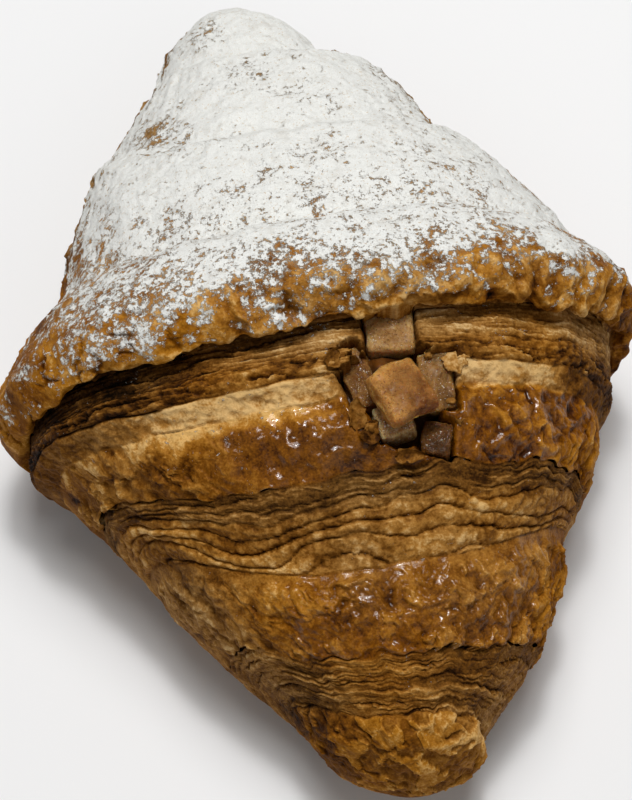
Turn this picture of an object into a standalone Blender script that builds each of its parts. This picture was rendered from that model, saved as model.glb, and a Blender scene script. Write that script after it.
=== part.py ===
"""An apple-filled croissant: one rolled, laminated pastry whose ridge is torn open over diced apple.

Sizes are in millimetres until a mesh is made, and the meshes are in metres. +Z is up, the pastry lies
along Y and rests on its flat underside at Z = 0. The near tip is at -Y, and its right side is at +X.
Places along X and Y are named from the spindle's own axis: the finished solids are then moved together,
by some 2.6 mm, so that the middle of their shared box is over the origin.
"""

import math
from collections import namedtuple

import bmesh
import bpy
import numpy as np
from mathutils import Euler, Vector, noise

MM = 0.001
GAP = 0.38  # clearance between two pieces that touch

# The pastry without its wraps is a spindle, widest at BELLY_Y and blunt at both tips.
BELLY_Y = -2.0
NEAR_LENGTH, FAR_LENGTH = 67.8, 76.9
AXIS_X = 1.4
NEAR_LEAN, FAR_LEAN = 2.1, -6.4  # sideways shift of each tip
LEFT_HALF_WIDTH, RIGHT_HALF_WIDTH = 49.9, 45.1
NEAR_TIP_RADIUS, FAR_TIP_RADIUS = 7.7, 5.7
NEAR_LEFT_TAPER, NEAR_RIGHT_TAPER = 1.09, 1.34
FAR_LEFT_TAPER, FAR_RIGHT_TAPER = 1.18, 1.32
RIDGE_TAPER = 1.3
BELLY_TOP, TIP_TOP = 59.0, 26.0
TIP_LIFT = 7.0
BELLY_SINK = 2.0  # the tray presses the underside flat by this much
WAIST_SHARE = 0.42  # height of the widest level in a section
CAP_START = 0.88  # share of the way to a tip at which its blunt cap begins
ARCH_POWER, BASE_POWER = 2.2, 2.8  # how square the upper and the lower half of a section are
SLANT_POWER = 3.0  # how late an edge turns as it comes down to either side

# Columns round a section. Angle 0 is the right side, 90 degrees the ridge, 180 degrees the left side.
UPPER_COLUMNS, LOWER_COLUMNS = 40, 12

# A line round the pastry: its Y at the ridge, the left, the right and under the belly, and how far it
# stands out of the spindle at the ridge, the left and the right.
Edge = namedtuple("Edge", "ridge left right under lift left_lift right_lift")

# Each wrap of the near half ends towards the tip in a rim, below which the cut layers step down to a groove.
NEAR_TIP = Edge(-69.8, -69.8, -69.8, -69.8, 0, 0, 0)
NUB_SHOULDER = Edge(-67, -65.5, -68, -67.5, 0.5, 0.2, 3.2)
NUB_GROOVE = Edge(-61.6, -54, -63, -60, -1.0, -1.2, -2.2)
RIM_C = Edge(-54.5, -44.5, -51.8, -50, 1.5, 0.4, 2.1)
GROOVE_C = Edge(-42, -29.5, -33.8, -37, -0.6, 0.6, -0.9)
RIM_B = Edge(-30.2, -20.3, -28.3, -26, 1.8, 0.6, 0.7)
STRIP_START = Edge(-19.2, -13.4, -18.4, -16, -0.5, 2.2, 0.6)
STRIP_END = Edge(-16.2, -10.8, -15.4, -14, 0.5, 4.6, 1.1)
# The belly wrap ends in a lip that overhangs the layers below it.
LIP_ROOT = Edge(-6.5, -4.5, -3.5, -8, -3.2, 0.6, -0.8)
LIP_ROOF = Edge(-8.0, -5.8, -4.6, -7, 0.7, 1.8, 1.1)
LIP_EDGE = Edge(-9.6, -7.0, -5.5, -6, 2.1, 4.0, 3.0)
LIP_FACE = Edge(-8.1, -4.8, -3.5, -4.5, 3.9, 4.8, 3.8)
CREASE = Edge(-2.9, -1.0, 2.5, -2, 4.7, 4.3, 5.3)
BELLY_RIM = Edge(7, 7, 6.5, 8, 4.0, 3.5, 2.8)
# The wraps of the far half lie closer and only step down a little.
BELLY_STEP = Edge(9.5, 14, 8.8, 11, 1.6, -0.2, 2.4)
RIM_F = Edge(29, 42, 36.8, 36, 2.6, 4.0, 1.8)
STEP_F = Edge(31.5, 47, 39.4, 39, 0.6, 2.4, -0.6)
RIM_G = Edge(52, 58, 53.8, 55, 1.6, 0.4, 3.8)
STEP_G = Edge(54, 60.5, 58.5, 58, -0.2, 1.0, -1.3)
FAR_SHOULDER = Edge(70, 69, 69.5, 69, 0.6, -0.4, -0.4)
FAR_TIP = Edge(74.9, 74.9, 74.9, 74.9, 0, 0, 0)

# The pastry's skin from tip to tip: each stretch runs on to the next edge, as a plain slope or a swelling
# of so many rows, or as so many stepped layers. The last number is the height of the lumps baked on it.
Stretch = namedtuple("Stretch", "start end shape count height lumps")
SKIN = (
    Stretch(NEAR_TIP, NUB_SHOULDER, "swell", 3, 0.0, 0.2),
    Stretch(NUB_SHOULDER, NUB_GROOVE, "swell", 4, 0.7, 0.5),
    Stretch(NUB_GROOVE, RIM_C, "layers", 3, 1.5, 0.3),
    Stretch(RIM_C, GROOVE_C, "swell", 6, 1.0, 0.7),
    Stretch(GROOVE_C, RIM_B, "layers", 4, 1.8, 0.3),
    Stretch(RIM_B, STRIP_START, "swell", 6, 1.2, 0.8),
    Stretch(STRIP_START, STRIP_END, "slope", 1, 0.0, 0.2),
    Stretch(STRIP_END, LIP_ROOT, "layers", 3, 1.2, 0.2),
    Stretch(LIP_ROOT, LIP_ROOF, "slope", 1, 0.0, 0.1),
    Stretch(LIP_ROOF, LIP_EDGE, "slope", 1, 0.0, 0.3),
    Stretch(LIP_EDGE, LIP_FACE, "slope", 1, 0.0, 0.5),
    Stretch(LIP_FACE, CREASE, "swell", 2, 0.5, 0.8),
    Stretch(CREASE, BELLY_RIM, "swell", 5, 0.4, 0.5),
    Stretch(BELLY_RIM, BELLY_STEP, "slope", 1, 0.0, 0.3),
    Stretch(BELLY_STEP, RIM_F, "swell", 5, 0.8, 0.5),
    Stretch(RIM_F, STEP_F, "slope", 1, 0.0, 0.3),
    Stretch(STEP_F, RIM_G, "swell", 5, 0.8, 0.5),
    Stretch(RIM_G, STEP_G, "slope", 1, 0.0, 0.3),
    Stretch(STEP_G, FAR_SHOULDER, "swell", 4, 0.8, 0.5),
    Stretch(FAR_SHOULDER, FAR_TIP, "swell", 3, 0.0, 0.2),
)
LAYER_WAVES = 5
LAYER_SWAY = 0.14  # how far a layer sways, as a share of its stretch
LUMP_SIZE = 8.0

# The filling: a core of apple compote along the middle, heaped up under the mouth.
CORE_X, CORE_Z = 1.0, 29.0
CORE_REACH = 43.0
CORE_HALF_WIDTH, CORE_HALF_HEIGHT = 15.0, 9.0
HEAP_HEIGHT, HEAP_RADIUS = 12.0, 10.0
CORE_RINGS, CORE_COLUMNS = 20, 18

# The mouth: a torn hole through the second wrap, under the lip.
MOUTH_X, MOUTH_Y, MOUTH_Z = 8.2, -18.55, 46.0
# Height and half width of each level.
MOUTH_LEVELS = ((32.0, 5.0), (38.0, 6.2), (44.0, 6.8), (50.0, 7.0), (56.0, 7.2), (62.0, 7.4))
MOUTH_LENGTH = 1.45  # its length over its width
MOUTH_TURN = 12.0  # degrees from the pastry's own axis
MOUTH_LEAN = -0.25  # shift along Y for each millimetre of height
MOUTH_COLUMNS = 24

# Diced apple in the mouth: centre, half sizes and turn in degrees.
Die = namedtuple("Die", "centre half turn")
DICE = (
    Die((8.6, -9.5, 51.3), (3.7, 3.4, 3.9), (10, -5, -5)),
    Die((7.9, -21.5, 56.2), (4.1, 4.4, 1.9), (0, 10, 19)),
    Die((3.2, -16.2, 49.9), (2.3, 4.7, 3.4), (-2, -16, 13)),
    Die((14.0, -18.0, 49.0), (2.7, 4.4, 3.5), (10, 0, -7)),
    Die((6.5, -23.7, 50.1), (2.6, 2.5, 3.2), (8, -5, 8)),
    Die((12.6, -26.8, 47.5), (2.2, 2.6, 3.2), (3, -5, -20)),
)
DIE_STATIONS = (-1.0, -0.72, 0.72, 1.0)
DIE_ROUNDING = 0.14
DIE_SKEW = 0.45  # how far a cooked die is out of true
HEADROOM = 3.0  # the crust over a die in the mouth is torn away up to this height

# Roughness of each material, none of them metallic.
ROUGHNESS = {"crust": 0.45, "compote": 0.3, "apple": 0.35}

COLOURS = {
    "crust": (0.32, 0.14, 0.04, 1.0),
    "compote": (0.30, 0.13, 0.04, 1.0),
    "apple": (0.50, 0.28, 0.10, 1.0),
}


def blend(low, high, share):
    """Mix two values."""
    return low + (high - low) * share


def spindle(y, to_left):
    """Half width, top, bottom, sideways shift and cap of the bare spindle at one place."""
    near = y < BELLY_Y
    reach = min(abs(y - BELLY_Y) / (NEAR_LENGTH if near else FAR_LENGTH), 1.0)
    if near:
        taper = NEAR_LEFT_TAPER if to_left else NEAR_RIGHT_TAPER
        tip_radius, lean = NEAR_TIP_RADIUS, NEAR_LEAN
    else:
        taper = FAR_LEFT_TAPER if to_left else FAR_RIGHT_TAPER
        tip_radius, lean = FAR_TIP_RADIUS, FAR_LEAN
    belly = LEFT_HALF_WIDTH if to_left else RIGHT_HALF_WIDTH
    half_width = blend(belly, tip_radius, reach**taper)
    top = blend(BELLY_TOP, TIP_TOP, reach**RIDGE_TAPER)
    bottom = TIP_LIFT * reach**3 - BELLY_SINK * (1 - reach**RIDGE_TAPER)
    beyond = max(reach - CAP_START, 0) / (1 - CAP_START)
    return half_width, top, bottom, AXIS_X + lean * reach**2, math.sqrt(max(1 - beyond**2, 0))


def skin_point(y, angle, lift):
    """The point of the skin at this Y and angle, lifted off the spindle and pressed flat on the tray."""
    across, up = math.cos(angle), math.sin(angle)
    half_width, top, bottom, axis, cap = spindle(y, across < 0)
    waist = blend(bottom, top, WAIST_SHARE)
    power = 2 / (ARCH_POWER if up >= 0 else BASE_POWER)
    x = math.copysign(abs(across) ** power, across) * (half_width + lift)
    rise = top + lift - waist if up >= 0 else waist - bottom
    z = math.copysign(abs(up) ** power, up) * rise
    return Vector((axis + x * cap, y, max(waist + z * cap, 0)))


def edge_place(edge, angle):
    """Y and lift of an edge at one angle."""
    across, up = math.cos(angle), math.sin(angle)
    turn = abs(across) ** SLANT_POWER
    side_y, side_lift = (edge.left, edge.left_lift) if across < 0 else (edge.right, edge.right_lift)
    lift = blend(edge.lift, side_lift, across**2)
    if up >= 0:
        return blend(edge.ridge, side_y, turn), lift
    crossing = blend(edge.left, edge.right, (1 + across) / 2)
    return blend(crossing, edge.under, -up), lift * (1 + up)


def lumpiness(point, height):
    """Baked unevenness: two sizes of smooth lumps."""
    coarse = noise.noise(point / LUMP_SIZE)
    fine = noise.noise(point / (LUMP_SIZE * 0.45) + Vector((31, 7, 13)))
    return height * (1.3 * coarse + 0.7 * fine)


def stretch_rows(stretch, serial):
    """The inner and last rows of a stretch: the share of the way, the sway and the lift of each."""
    rows = []
    if stretch.shape == "layers":
        for layer in range(stretch.count):
            for place, height in ((0.3, -0.5), (0.8, 0.5)):
                share = (layer + place) / stretch.count
                rows.append((share, 1.0, height * stretch.height, serial + 0.4 * layer))
        rows.append((1.0, 0.0, 0.0, serial))
        return rows
    for row in range(1, stretch.count + 1):
        share = row / stretch.count
        rows.append((share, 0.0, stretch.height * math.sin(math.pi * share), serial))
    return rows


def skin_rings():
    """The closed rings of points from the near tip to the far one, without the tips themselves."""
    angles = [math.pi * i / UPPER_COLUMNS for i in range(UPPER_COLUMNS)]
    angles += [math.pi + math.pi * i / LOWER_COLUMNS for i in range(LOWER_COLUMNS)]
    rings = []
    for serial, stretch in enumerate(SKIN):
        for share, sway, height, phase in stretch_rows(stretch, serial):
            ring = []
            for angle in angles:
                start_y, start_lift = edge_place(stretch.start, angle)
                end_y, end_lift = edge_place(stretch.end, angle)
                arch = max(math.sin(angle), 0)
                wave = math.sin(LAYER_WAVES * angle + phase) + 0.6 * math.sin(8 * angle - 1.3 * phase)
                here = share + sway * LAYER_SWAY * arch * wave * math.sin(math.pi * share)
                y = blend(start_y, end_y, here)
                lift = blend(start_lift, end_lift, here) + height * (0.4 + 0.6 * arch)
                point = skin_point(y, angle, lift)
                ring.append(skin_point(y, angle, lift + lumpiness(point, stretch.lumps)))
            rings.append(ring)
    return rings[:-1]


def core_rings():
    """The compote core, ring by ring along Y."""
    rings = []
    for index in range(CORE_RINGS):
        turn = math.pi * (index + 0.5) / CORE_RINGS
        y = -CORE_REACH * math.cos(turn)
        width = CORE_HALF_WIDTH * math.sin(turn) ** 0.7
        height = CORE_HALF_HEIGHT * math.sin(turn) ** 0.7
        ring = []
        for column in range(CORE_COLUMNS):
            angle = 2 * math.pi * column / CORE_COLUMNS
            x = CORE_X + width * math.cos(angle)
            heap = math.exp(-((x - MOUTH_X) ** 2 + (y - MOUTH_Y) ** 2) / HEAP_RADIUS**2)
            z = CORE_Z + height * math.sin(angle) + HEAP_HEIGHT * heap * max(math.sin(angle), 0)
            uneven = 0.9 * noise.noise(Vector((x, y, z)) / 9)
            ring.append(Vector((x + uneven, y, z + uneven)))
        rings.append(ring)
    return rings


def mouth_rings():
    """The torn hole, level by level from inside the filling to above the crust."""
    rings = []
    cos_turn, sin_turn = math.cos(math.radians(MOUTH_TURN)), math.sin(math.radians(MOUTH_TURN))
    for z, radius in MOUTH_LEVELS:
        ring = []
        for column in range(MOUTH_COLUMNS):
            angle = 2 * math.pi * column / MOUTH_COLUMNS
            torn = radius * (1 + 0.05 * math.sin(3 * angle + 0.6) + 0.05 * math.sin(5 * angle + z / 9))
            across = torn * math.cos(angle)
            along = torn * MOUTH_LENGTH * math.sin(angle)
            x = MOUTH_X + across * cos_turn - along * sin_turn
            y = MOUTH_Y + across * sin_turn + along * cos_turn + MOUTH_LEAN * (z - MOUTH_Z)
            ring.append(Vector((x, y, z)))
        rings.append(ring)
    return rings


def loft(name, rings, start=None, end=None, slot="crust", grow=0.0):
    """A closed solid through rings of points, which narrows to a point or a middle point at each end."""
    mesh = bmesh.new()
    rows = [[mesh.verts.new(point * MM) for point in ring] for ring in rings]
    count = len(rows[0])
    for low, high in zip(rows[:-1], rows[1:]):
        for i in range(count):
            j = (i + 1) % count
            mesh.faces.new((low[i], low[j], high[j], high[i]))
    for row, tip in ((rows[0], start), (rows[-1], end)):
        middle = tip if tip is not None else sum((v.co for v in row), Vector()) / count / MM
        cap = mesh.verts.new(Vector(middle) * MM)
        for i in range(count):
            mesh.faces.new((row[i], row[(i + 1) % count], cap))
    return finish(name, mesh, slot, grow)


def dice_block(name, die, seed, grow=0.0, headroom=0.0):
    """A diced apple piece: a cut block with softened edges, cooked a little out of true."""
    mesh = bmesh.new()
    bmesh.ops.create_cube(mesh, size=2.0)
    bmesh.ops.subdivide_edges(mesh, edges=mesh.edges[:], cuts=2, use_grid_fill=True)
    turn = Euler([math.radians(a) for a in die.turn]).to_matrix()
    half = Vector(die.half)
    for vert in mesh.verts:
        share = Vector([DIE_STATIONS[min(int((c + 1) * 1.5 + 0.5), 3)] for c in vert.co])
        outer = [abs(c) > 0.9 for c in share]
        on_top = share.z > 0.9
        if sum(outer) > 1:
            share = Vector([c * (1 - DIE_ROUNDING * (sum(outer) - 1) / half[i] * 3) if outer[i] else c
                            for i, c in enumerate(share)])
        true = Vector([share[i] * half[i] for i in range(3)])
        skew = Vector([noise.noise(true / 5 + Vector((seed * 9, axis * 17, 3))) for axis in range(3)])
        cooked = true + skew * DIE_SKEW
        if on_top:
            cooked.z += headroom
        vert.co = (Vector(die.centre) + turn @ cooked) * MM
    return finish(name, mesh, "apple", grow)


def finish(name, mesh, slot, grow):
    """Grow a bmesh evenly by a clearance, and turn it into a smooth object with its own material."""
    bmesh.ops.triangulate(mesh, faces=mesh.faces[:])
    bmesh.ops.recalc_face_normals(mesh, faces=mesh.faces[:])
    if grow:
        moves = [vert.normal * vert.calc_shell_factor() * grow * MM for vert in mesh.verts]
        for vert, move in zip(mesh.verts, moves):
            vert.co += move
    data = bpy.data.meshes.new(name)
    mesh.to_mesh(data)
    mesh.free()
    for polygon in data.polygons:
        polygon.use_smooth = True
    material = bpy.data.materials.new(slot)
    material.use_nodes = True
    surface = material.node_tree.nodes["Principled BSDF"].inputs
    surface["Base Color"].default_value = COLOURS[slot]
    surface["Roughness"].default_value = ROUGHNESS[slot]
    surface["Metallic"].default_value = 0.0
    data.materials.append(material)
    thing = bpy.data.objects.new(name, data)
    bpy.context.scene.collection.objects.link(thing)
    return thing


def cut(thing, cutters):
    """Take each cutter out of a solid, and keep only the result."""
    for cutter in cutters:
        modifier = thing.modifiers.new("room_for_" + cutter.name, "BOOLEAN")
        modifier.operation = "DIFFERENCE"
        modifier.solver = "EXACT"
        modifier.object = cutter
    bpy.context.view_layer.update()
    solid = bpy.data.meshes.new_from_object(thing.evaluated_get(bpy.context.evaluated_depsgraph_get()))
    thing.modifiers.clear()
    thing.data = solid


def centre_on_origin(things):
    """Move all the solids together, so that the middle of their shared box is over the origin."""
    corners = np.array([v.co for thing in things for v in thing.data.vertices])
    middle = (corners.min(axis=0) + corners.max(axis=0)) / 2
    for thing in things:
        for vert in thing.data.vertices:
            vert.co.x -= middle[0]
            vert.co.y -= middle[1]


def main():
    for thing in list(bpy.data.objects):
        bpy.data.objects.remove(thing, do_unlink=True)
    near = skin_point(NEAR_TIP.ridge, math.pi / 2, 0)
    far = skin_point(FAR_TIP.ridge, math.pi / 2, 0)
    croissant = loft("croissant", skin_rings(), near, far)
    filling = loft("apple_filling", core_rings(), slot="compote")
    dice = [dice_block(f"apple_dice_{i + 1}", die, i) for i, die in enumerate(DICE)]
    core_room = loft("core_room", core_rings(), slot="compote", grow=GAP)
    mouth = loft("mouth", mouth_rings())
    dice_rooms = [dice_block(f"dice_room_{i + 1}", die, i, GAP, HEADROOM) for i, die in enumerate(DICE)]
    cut(croissant, [core_room, mouth] + dice_rooms)
    cut(filling, dice_rooms)
    for cutter in [core_room, mouth] + dice_rooms:
        bpy.data.objects.remove(cutter, do_unlink=True)
    centre_on_origin([croissant, filling] + dice)


main()
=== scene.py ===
"""The looks of an apple-filled croissant, dusted with sugar, with its torn mouth full of diced apple.

Sizes are in millimetres until a mesh is made, and the meshes are in metres. +Z is up, the pastry lies
along Y, and the near tip is at -Y.
"""

import math
from collections import namedtuple

import bmesh
import bpy
import numpy as np
from mathutils import Euler, Matrix, Vector, noise


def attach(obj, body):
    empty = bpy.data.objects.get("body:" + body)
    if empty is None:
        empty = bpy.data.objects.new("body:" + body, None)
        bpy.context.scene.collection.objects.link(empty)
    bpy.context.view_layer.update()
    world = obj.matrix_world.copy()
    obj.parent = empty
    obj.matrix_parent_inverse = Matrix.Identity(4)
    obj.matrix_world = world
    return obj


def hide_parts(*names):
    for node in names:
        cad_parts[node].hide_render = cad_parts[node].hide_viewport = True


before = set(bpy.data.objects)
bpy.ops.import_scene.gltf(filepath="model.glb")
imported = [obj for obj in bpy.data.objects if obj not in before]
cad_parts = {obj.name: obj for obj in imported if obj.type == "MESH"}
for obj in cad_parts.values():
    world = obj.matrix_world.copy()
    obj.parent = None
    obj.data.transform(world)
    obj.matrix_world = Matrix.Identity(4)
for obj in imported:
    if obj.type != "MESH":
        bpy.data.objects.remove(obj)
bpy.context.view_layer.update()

MM = 0.001
SHIFT = np.array((0.06, -2.55, 0.0))  # from the place where the sizes are given to the frame

# ---- the pastry's form, as in the CAD model
BELLY_Y = -2.0
NEAR_LENGTH, FAR_LENGTH = 67.8, 76.9
AXIS_X = 1.4
NEAR_LEAN, FAR_LEAN = 2.1, -6.4
LEFT_HALF_WIDTH, RIGHT_HALF_WIDTH = 49.9, 45.1
NEAR_TIP_RADIUS, FAR_TIP_RADIUS = 7.7, 5.7
NEAR_LEFT_TAPER, NEAR_RIGHT_TAPER = 1.09, 1.34
FAR_LEFT_TAPER, FAR_RIGHT_TAPER = 1.18, 1.32
RIDGE_TAPER = 1.3
BELLY_TOP, TIP_TOP = 59.0, 26.0
TIP_LIFT = 7.0
BELLY_SINK = 2.0
WAIST_SHARE = 0.42
CAP_START = 0.88
ARCH_POWER, BASE_POWER = 2.2, 2.8
SLANT_POWER = 3.0

UPPER_COLUMNS, LOWER_COLUMNS = 440, 90

# A line round the pastry: its Y at the ridge, the left, the right and under the belly, how far it stands
# out at the ridge, the left and the right, and how ragged it is along Y and outwards.
EDGE_FIELDS = "ridge left right under lift left_lift right_lift ragged bumpy"
Edge = namedtuple("Edge", EDGE_FIELDS, defaults=(0.0, 0.0))
NEAR_TIP = Edge(-69.8, -69.8, -69.8, -69.8, 0, 0, 0)
NUB_SHOULDER = Edge(-67, -65.5, -68, -67.5, 0.5, 0.2, 3.2)
NUB_GROOVE = Edge(-61.6, -54, -63, -60, -1.0, -1.2, -2.2, 0.5, 0.2)
RIM_C = Edge(-54.5, -44.5, -51.8, -50, 1.5, 0.4, 2.1, 1.0, 0.4)
GROOVE_C = Edge(-42, -29.5, -33.8, -37, -0.6, 0.6, -0.9, 0.3, 0.2)
RIM_B = Edge(-30.2, -20.3, -28.3, -26, 1.8, 0.6, 0.7, 1.1, 0.5)
STRIP_START = Edge(-19.2, -13.4, -18.4, -16, -0.5, 2.2, 0.6, 0.5, 0.1)
STRIP_END = Edge(-16.2, -10.8, -15.4, -14, 0.5, 4.6, 1.1, 0.5, 0.2)
LIP_ROOT = Edge(-6.5, -4.5, -3.5, -8, -3.2, 0.6, -0.8)
LIP_ROOF = Edge(-8.0, -5.8, -4.6, -7, 0.7, 1.8, 1.1, 0.8, 0.3)
LIP_EDGE = Edge(-9.6, -7.0, -5.5, -6, 2.1, 4.0, 3.0, 1.7, 0.7)
LIP_FACE = Edge(-8.1, -4.8, -3.5, -4.5, 3.9, 4.8, 3.8, 1.3, 0.8)
CREASE = Edge(-2.9, -1.0, 2.5, -2, 4.7, 4.3, 5.3, 0.9, 0.3)
BELLY_RIM = Edge(7, 7, 6.5, 8, 4.0, 3.5, 2.8)
BELLY_STEP = Edge(9.5, 14, 8.8, 11, 1.6, -0.2, 2.4, 0.6, 0.2)
RIM_F = Edge(29, 42, 36.8, 36, 2.6, 4.0, 1.8, 1.0, 0.3)
STEP_F = Edge(31.5, 47, 39.4, 39, 0.6, 2.4, -0.6, 0.8, 0.2)
RIM_G = Edge(52, 58, 53.8, 55, 1.6, 0.4, 3.8, 0.8, 0.3)
STEP_G = Edge(54, 60.5, 58.5, 58, -0.2, 1.0, -2.6, 0.6, 0.2)
FAR_SHOULDER = Edge(70, 69, 69.5, 69, 0.8, -0.3, -1.4)
FAR_TIP = Edge(74.9, 74.9, 74.9, 74.9, 0, 0, 0)

# The skin from the near tip on: each stretch runs from the last edge to its own. Its swell, its kind of
# surface and the spacing of its rows.
Stretch = namedtuple("Stretch", "end swell kind spacing")
SKIN = (
    Stretch(NUB_SHOULDER, 0.0, "film", 0.34),
    Stretch(NUB_GROOVE, 0.7, "nub", 0.28),
    Stretch(RIM_C, 0.0, "fine", 0.2),
    Stretch(GROOVE_C, 1.0, "blister", 0.27),
    Stretch(RIM_B, 0.0, "broad", 0.2),
    Stretch(STRIP_START, 1.2, "glazed", 0.26),
    Stretch(STRIP_END, 0.0, "strip", 0.22),
    Stretch(LIP_ROOT, 0.0, "shadow", 0.22),
    Stretch(LIP_ROOF, 0.0, "shadow", 0.28),
    Stretch(LIP_EDGE, 0.0, "rim", 0.26),
    Stretch(LIP_FACE, 0.0, "rim", 0.26),
    Stretch(CREASE, 0.5, "rim", 0.26),
    Stretch(BELLY_RIM, 0.4, "dusted", 0.3),
    Stretch(BELLY_STEP, 0.0, "dusted", 0.3),
    Stretch(RIM_F, 0.8, "dusted", 0.32),
    Stretch(STEP_F, 0.0, "dusted", 0.3),
    Stretch(RIM_G, 0.8, "dusted", 0.32),
    Stretch(STEP_G, 0.0, "dusted", 0.3),
    Stretch(FAR_SHOULDER, 0.8, "dusted", 0.34),
    Stretch(FAR_TIP, 0.0, "dusted", 0.36),
)
# The crust is made in pieces of whole stretches, each closed in itself.
CRUST_PIECES = (
    ("crust_near_tip", 0, 3), ("crust_wrap_third", 3, 5), ("crust_wrap_second", 5, 8),
    ("crust_lip", 8, 13), ("crust_wrap_far", 13, 16), ("crust_far_tip", 16, 20),
)

STRIP = 6  # the serial of the cut strip, whose near border is softened to the left of the mouth
SOFT_ROWS, SOFT_BLUR = 11, 6  # how many rows that takes in, and how many it smooths over

CORE_X, CORE_Z = 1.0, 29.0
CORE_REACH = 43.0
CORE_HALF_WIDTH, CORE_HALF_HEIGHT = 15.0, 9.0
HEAP_HEIGHT, HEAP_RADIUS = 12.0, 10.0
MOUTH_X, MOUTH_Y, MOUTH_Z = 8.2, -17.6, 46.0
MOUTH_LEVELS = ((32.0, 5.0), (38.0, 6.2), (44.0, 6.8), (50.0, 7.0), (56.0, 7.2), (62.0, 7.4))
MOUTH_LENGTH = 1.25
MOUTH_TURN = 12.0
MOUTH_LEAN = -0.25
MOUTH_OUTSKIRTS, MOUTH_FLOOR = (26, 18), 35  # the skin within this reach and above this height can drop
MOUTH_DROPS = ((1.8, -0.1, 0.4), (6.0, 0.3, 1.0), (16.0, 0.9, 2.6))  # how far, and from where to where

# Where the sugar is thin on the far half: X, Y, half width, half length and how much is missing.
THIN_PATCHES = (
    (-20.7, 39.6, 4.5, 5.5, 0.29), (19.5, 46.0, 4.0, 9.0, 0.24), (-4.4, 46.9, 6.5, 5.0, 0.18),
    (-9.4, 61.0, 5.0, 4.5, 0.14), (7.7, 37.0, 5.0, 4.0, 0.14),
)

Die = namedtuple("Die", "centre half turn")
DICE = (
    Die((8.6, -9.5, 51.3), (3.7, 3.4, 3.9), (10, -5, -5)),
    Die((7.9, -21.5, 56.2), (4.1, 4.4, 1.9), (0, 10, 19)),
    Die((3.2, -16.2, 49.9), (2.3, 4.7, 3.4), (-2, -16, 13)),
    Die((14.0, -18.0, 49.0), (2.7, 4.4, 3.5), (10, 0, -7)),
    Die((6.5, -23.7, 50.1), (2.6, 2.5, 3.2), (8, -5, 8)),
    Die((12.6, -26.8, 47.5), (2.2, 2.6, 3.2), (3, -5, -20)),
)
HEADROOM, SIDEROOM = 3.0, 0.4
PLUG_HEIGHT, PLUG_HALF_WIDTH, PLUG_HALF_LENGTH = 2.5, 7.2, 9.5
DIE_SKEW = 0.45
DIE_CUTS = 34
DIE_ROUND = (1.1, 1.55, 0.85, 0.85, 0.7, 0.7)


# ---- numbers and noise
def mix(low, high, share):
    """Blend two values."""
    return low + (high - low) * share


def ramp(value, low, high):
    """0 below low, 1 above high, smooth between. low may be the greater one."""
    share = np.clip((value - low) / (high - low), 0, 1)
    return share * share * (3 - 2 * share)


def bump_at(value, middle, width):
    """1 at the middle, fading out over about this width."""
    return np.exp(-(((value - middle) / width) ** 2))


DRAW = np.random.default_rng(20)
SHUFFLE = np.tile(DRAW.permutation(256), 2)
WAYS = DRAW.normal(size=(256, 3))
WAYS /= np.linalg.norm(WAYS, axis=1, keepdims=True)
SPOTS = DRAW.random((256, 3))


def scramble(x, y, z):
    """A number from 0 to 255 for each whole-number cell."""
    return SHUFFLE[SHUFFLE[SHUFFLE[x & 255] + (y & 255)] + (z & 255)]


def wave(points, size, seed=0):
    """Smooth noise from about -1 to 1, whose bumps are about this size."""
    at = np.asarray(points, float) / size + seed * 7.31
    cell = np.floor(at).astype(np.int64)
    part = at - cell
    soft = part**3 * (part * (part * 6 - 15) + 10)
    total = np.zeros(at.shape[:-1])
    for dx in (0, 1):
        wx = soft[..., 0] if dx else 1 - soft[..., 0]
        for dy in (0, 1):
            wy = soft[..., 1] if dy else 1 - soft[..., 1]
            for dz in (0, 1):
                wz = soft[..., 2] if dz else 1 - soft[..., 2]
                way = WAYS[scramble(cell[..., 0] + dx, cell[..., 1] + dy, cell[..., 2] + dz)]
                reach = (way * (part - (dx, dy, dz))).sum(-1)
                total += wx * wy * wz * reach
    return total * 1.7


def wave3(across, along, layer, seed):
    """Noise over three numbers that are counted in bumps already."""
    return wave(np.stack(np.broadcast_arrays(across, along, layer), axis=-1), 1.0, seed)


def waves(points, size, seed=0, octaves=3):
    """Noise of several sizes, each half the last."""
    total, weight = 0, 1.0
    for octave in range(octaves):
        total = total + weight * wave(points, size / 2**octave, seed + octave)
        weight *= 0.5
    return total


def cells(points, size, seed=0):
    """Distance to the nearest and second nearest seed in sizes, and a number from 0 to 1 for the nearest."""
    at = np.asarray(points, float) / size + seed * 3.17
    cell = np.floor(at).astype(np.int64)
    part = at - cell
    first = np.full(at.shape[:-1], 9.0)
    second = np.full(at.shape[:-1], 9.0)
    name = np.zeros(at.shape[:-1])
    for dx in (-1, 0, 1):
        for dy in (-1, 0, 1):
            for dz in (-1, 0, 1):
                key = scramble(cell[..., 0] + dx, cell[..., 1] + dy, cell[..., 2] + dz)
                gap = SPOTS[key] + (dx, dy, dz) - part
                far = np.sqrt((gap**2).sum(-1))
                closer = far < first
                second = np.where(closer, first, np.minimum(second, far))
                name = np.where(closer, key / 256, name)
                first = np.where(closer, far, first)
    return first, second, name


def blur(field, rows, columns):
    """Smooth a field on the grid, whose columns run round."""
    def line(count):
        widest = math.ceil(2.5 * count)
        steps = np.arange(-widest, widest + 1)
        weights = np.exp(-0.5 * (steps / max(count, 0.5)) ** 2)
        return steps, weights / weights.sum()
    out = np.zeros_like(field)
    last = len(field) - 1
    for step, weight in zip(*line(rows)):
        out += weight * field[np.clip(np.arange(len(field)) + step, 0, last)]
    result = np.zeros_like(field)
    for step, weight in zip(*line(columns)):
        result += weight * np.roll(out, step, axis=1)
    return result


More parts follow.
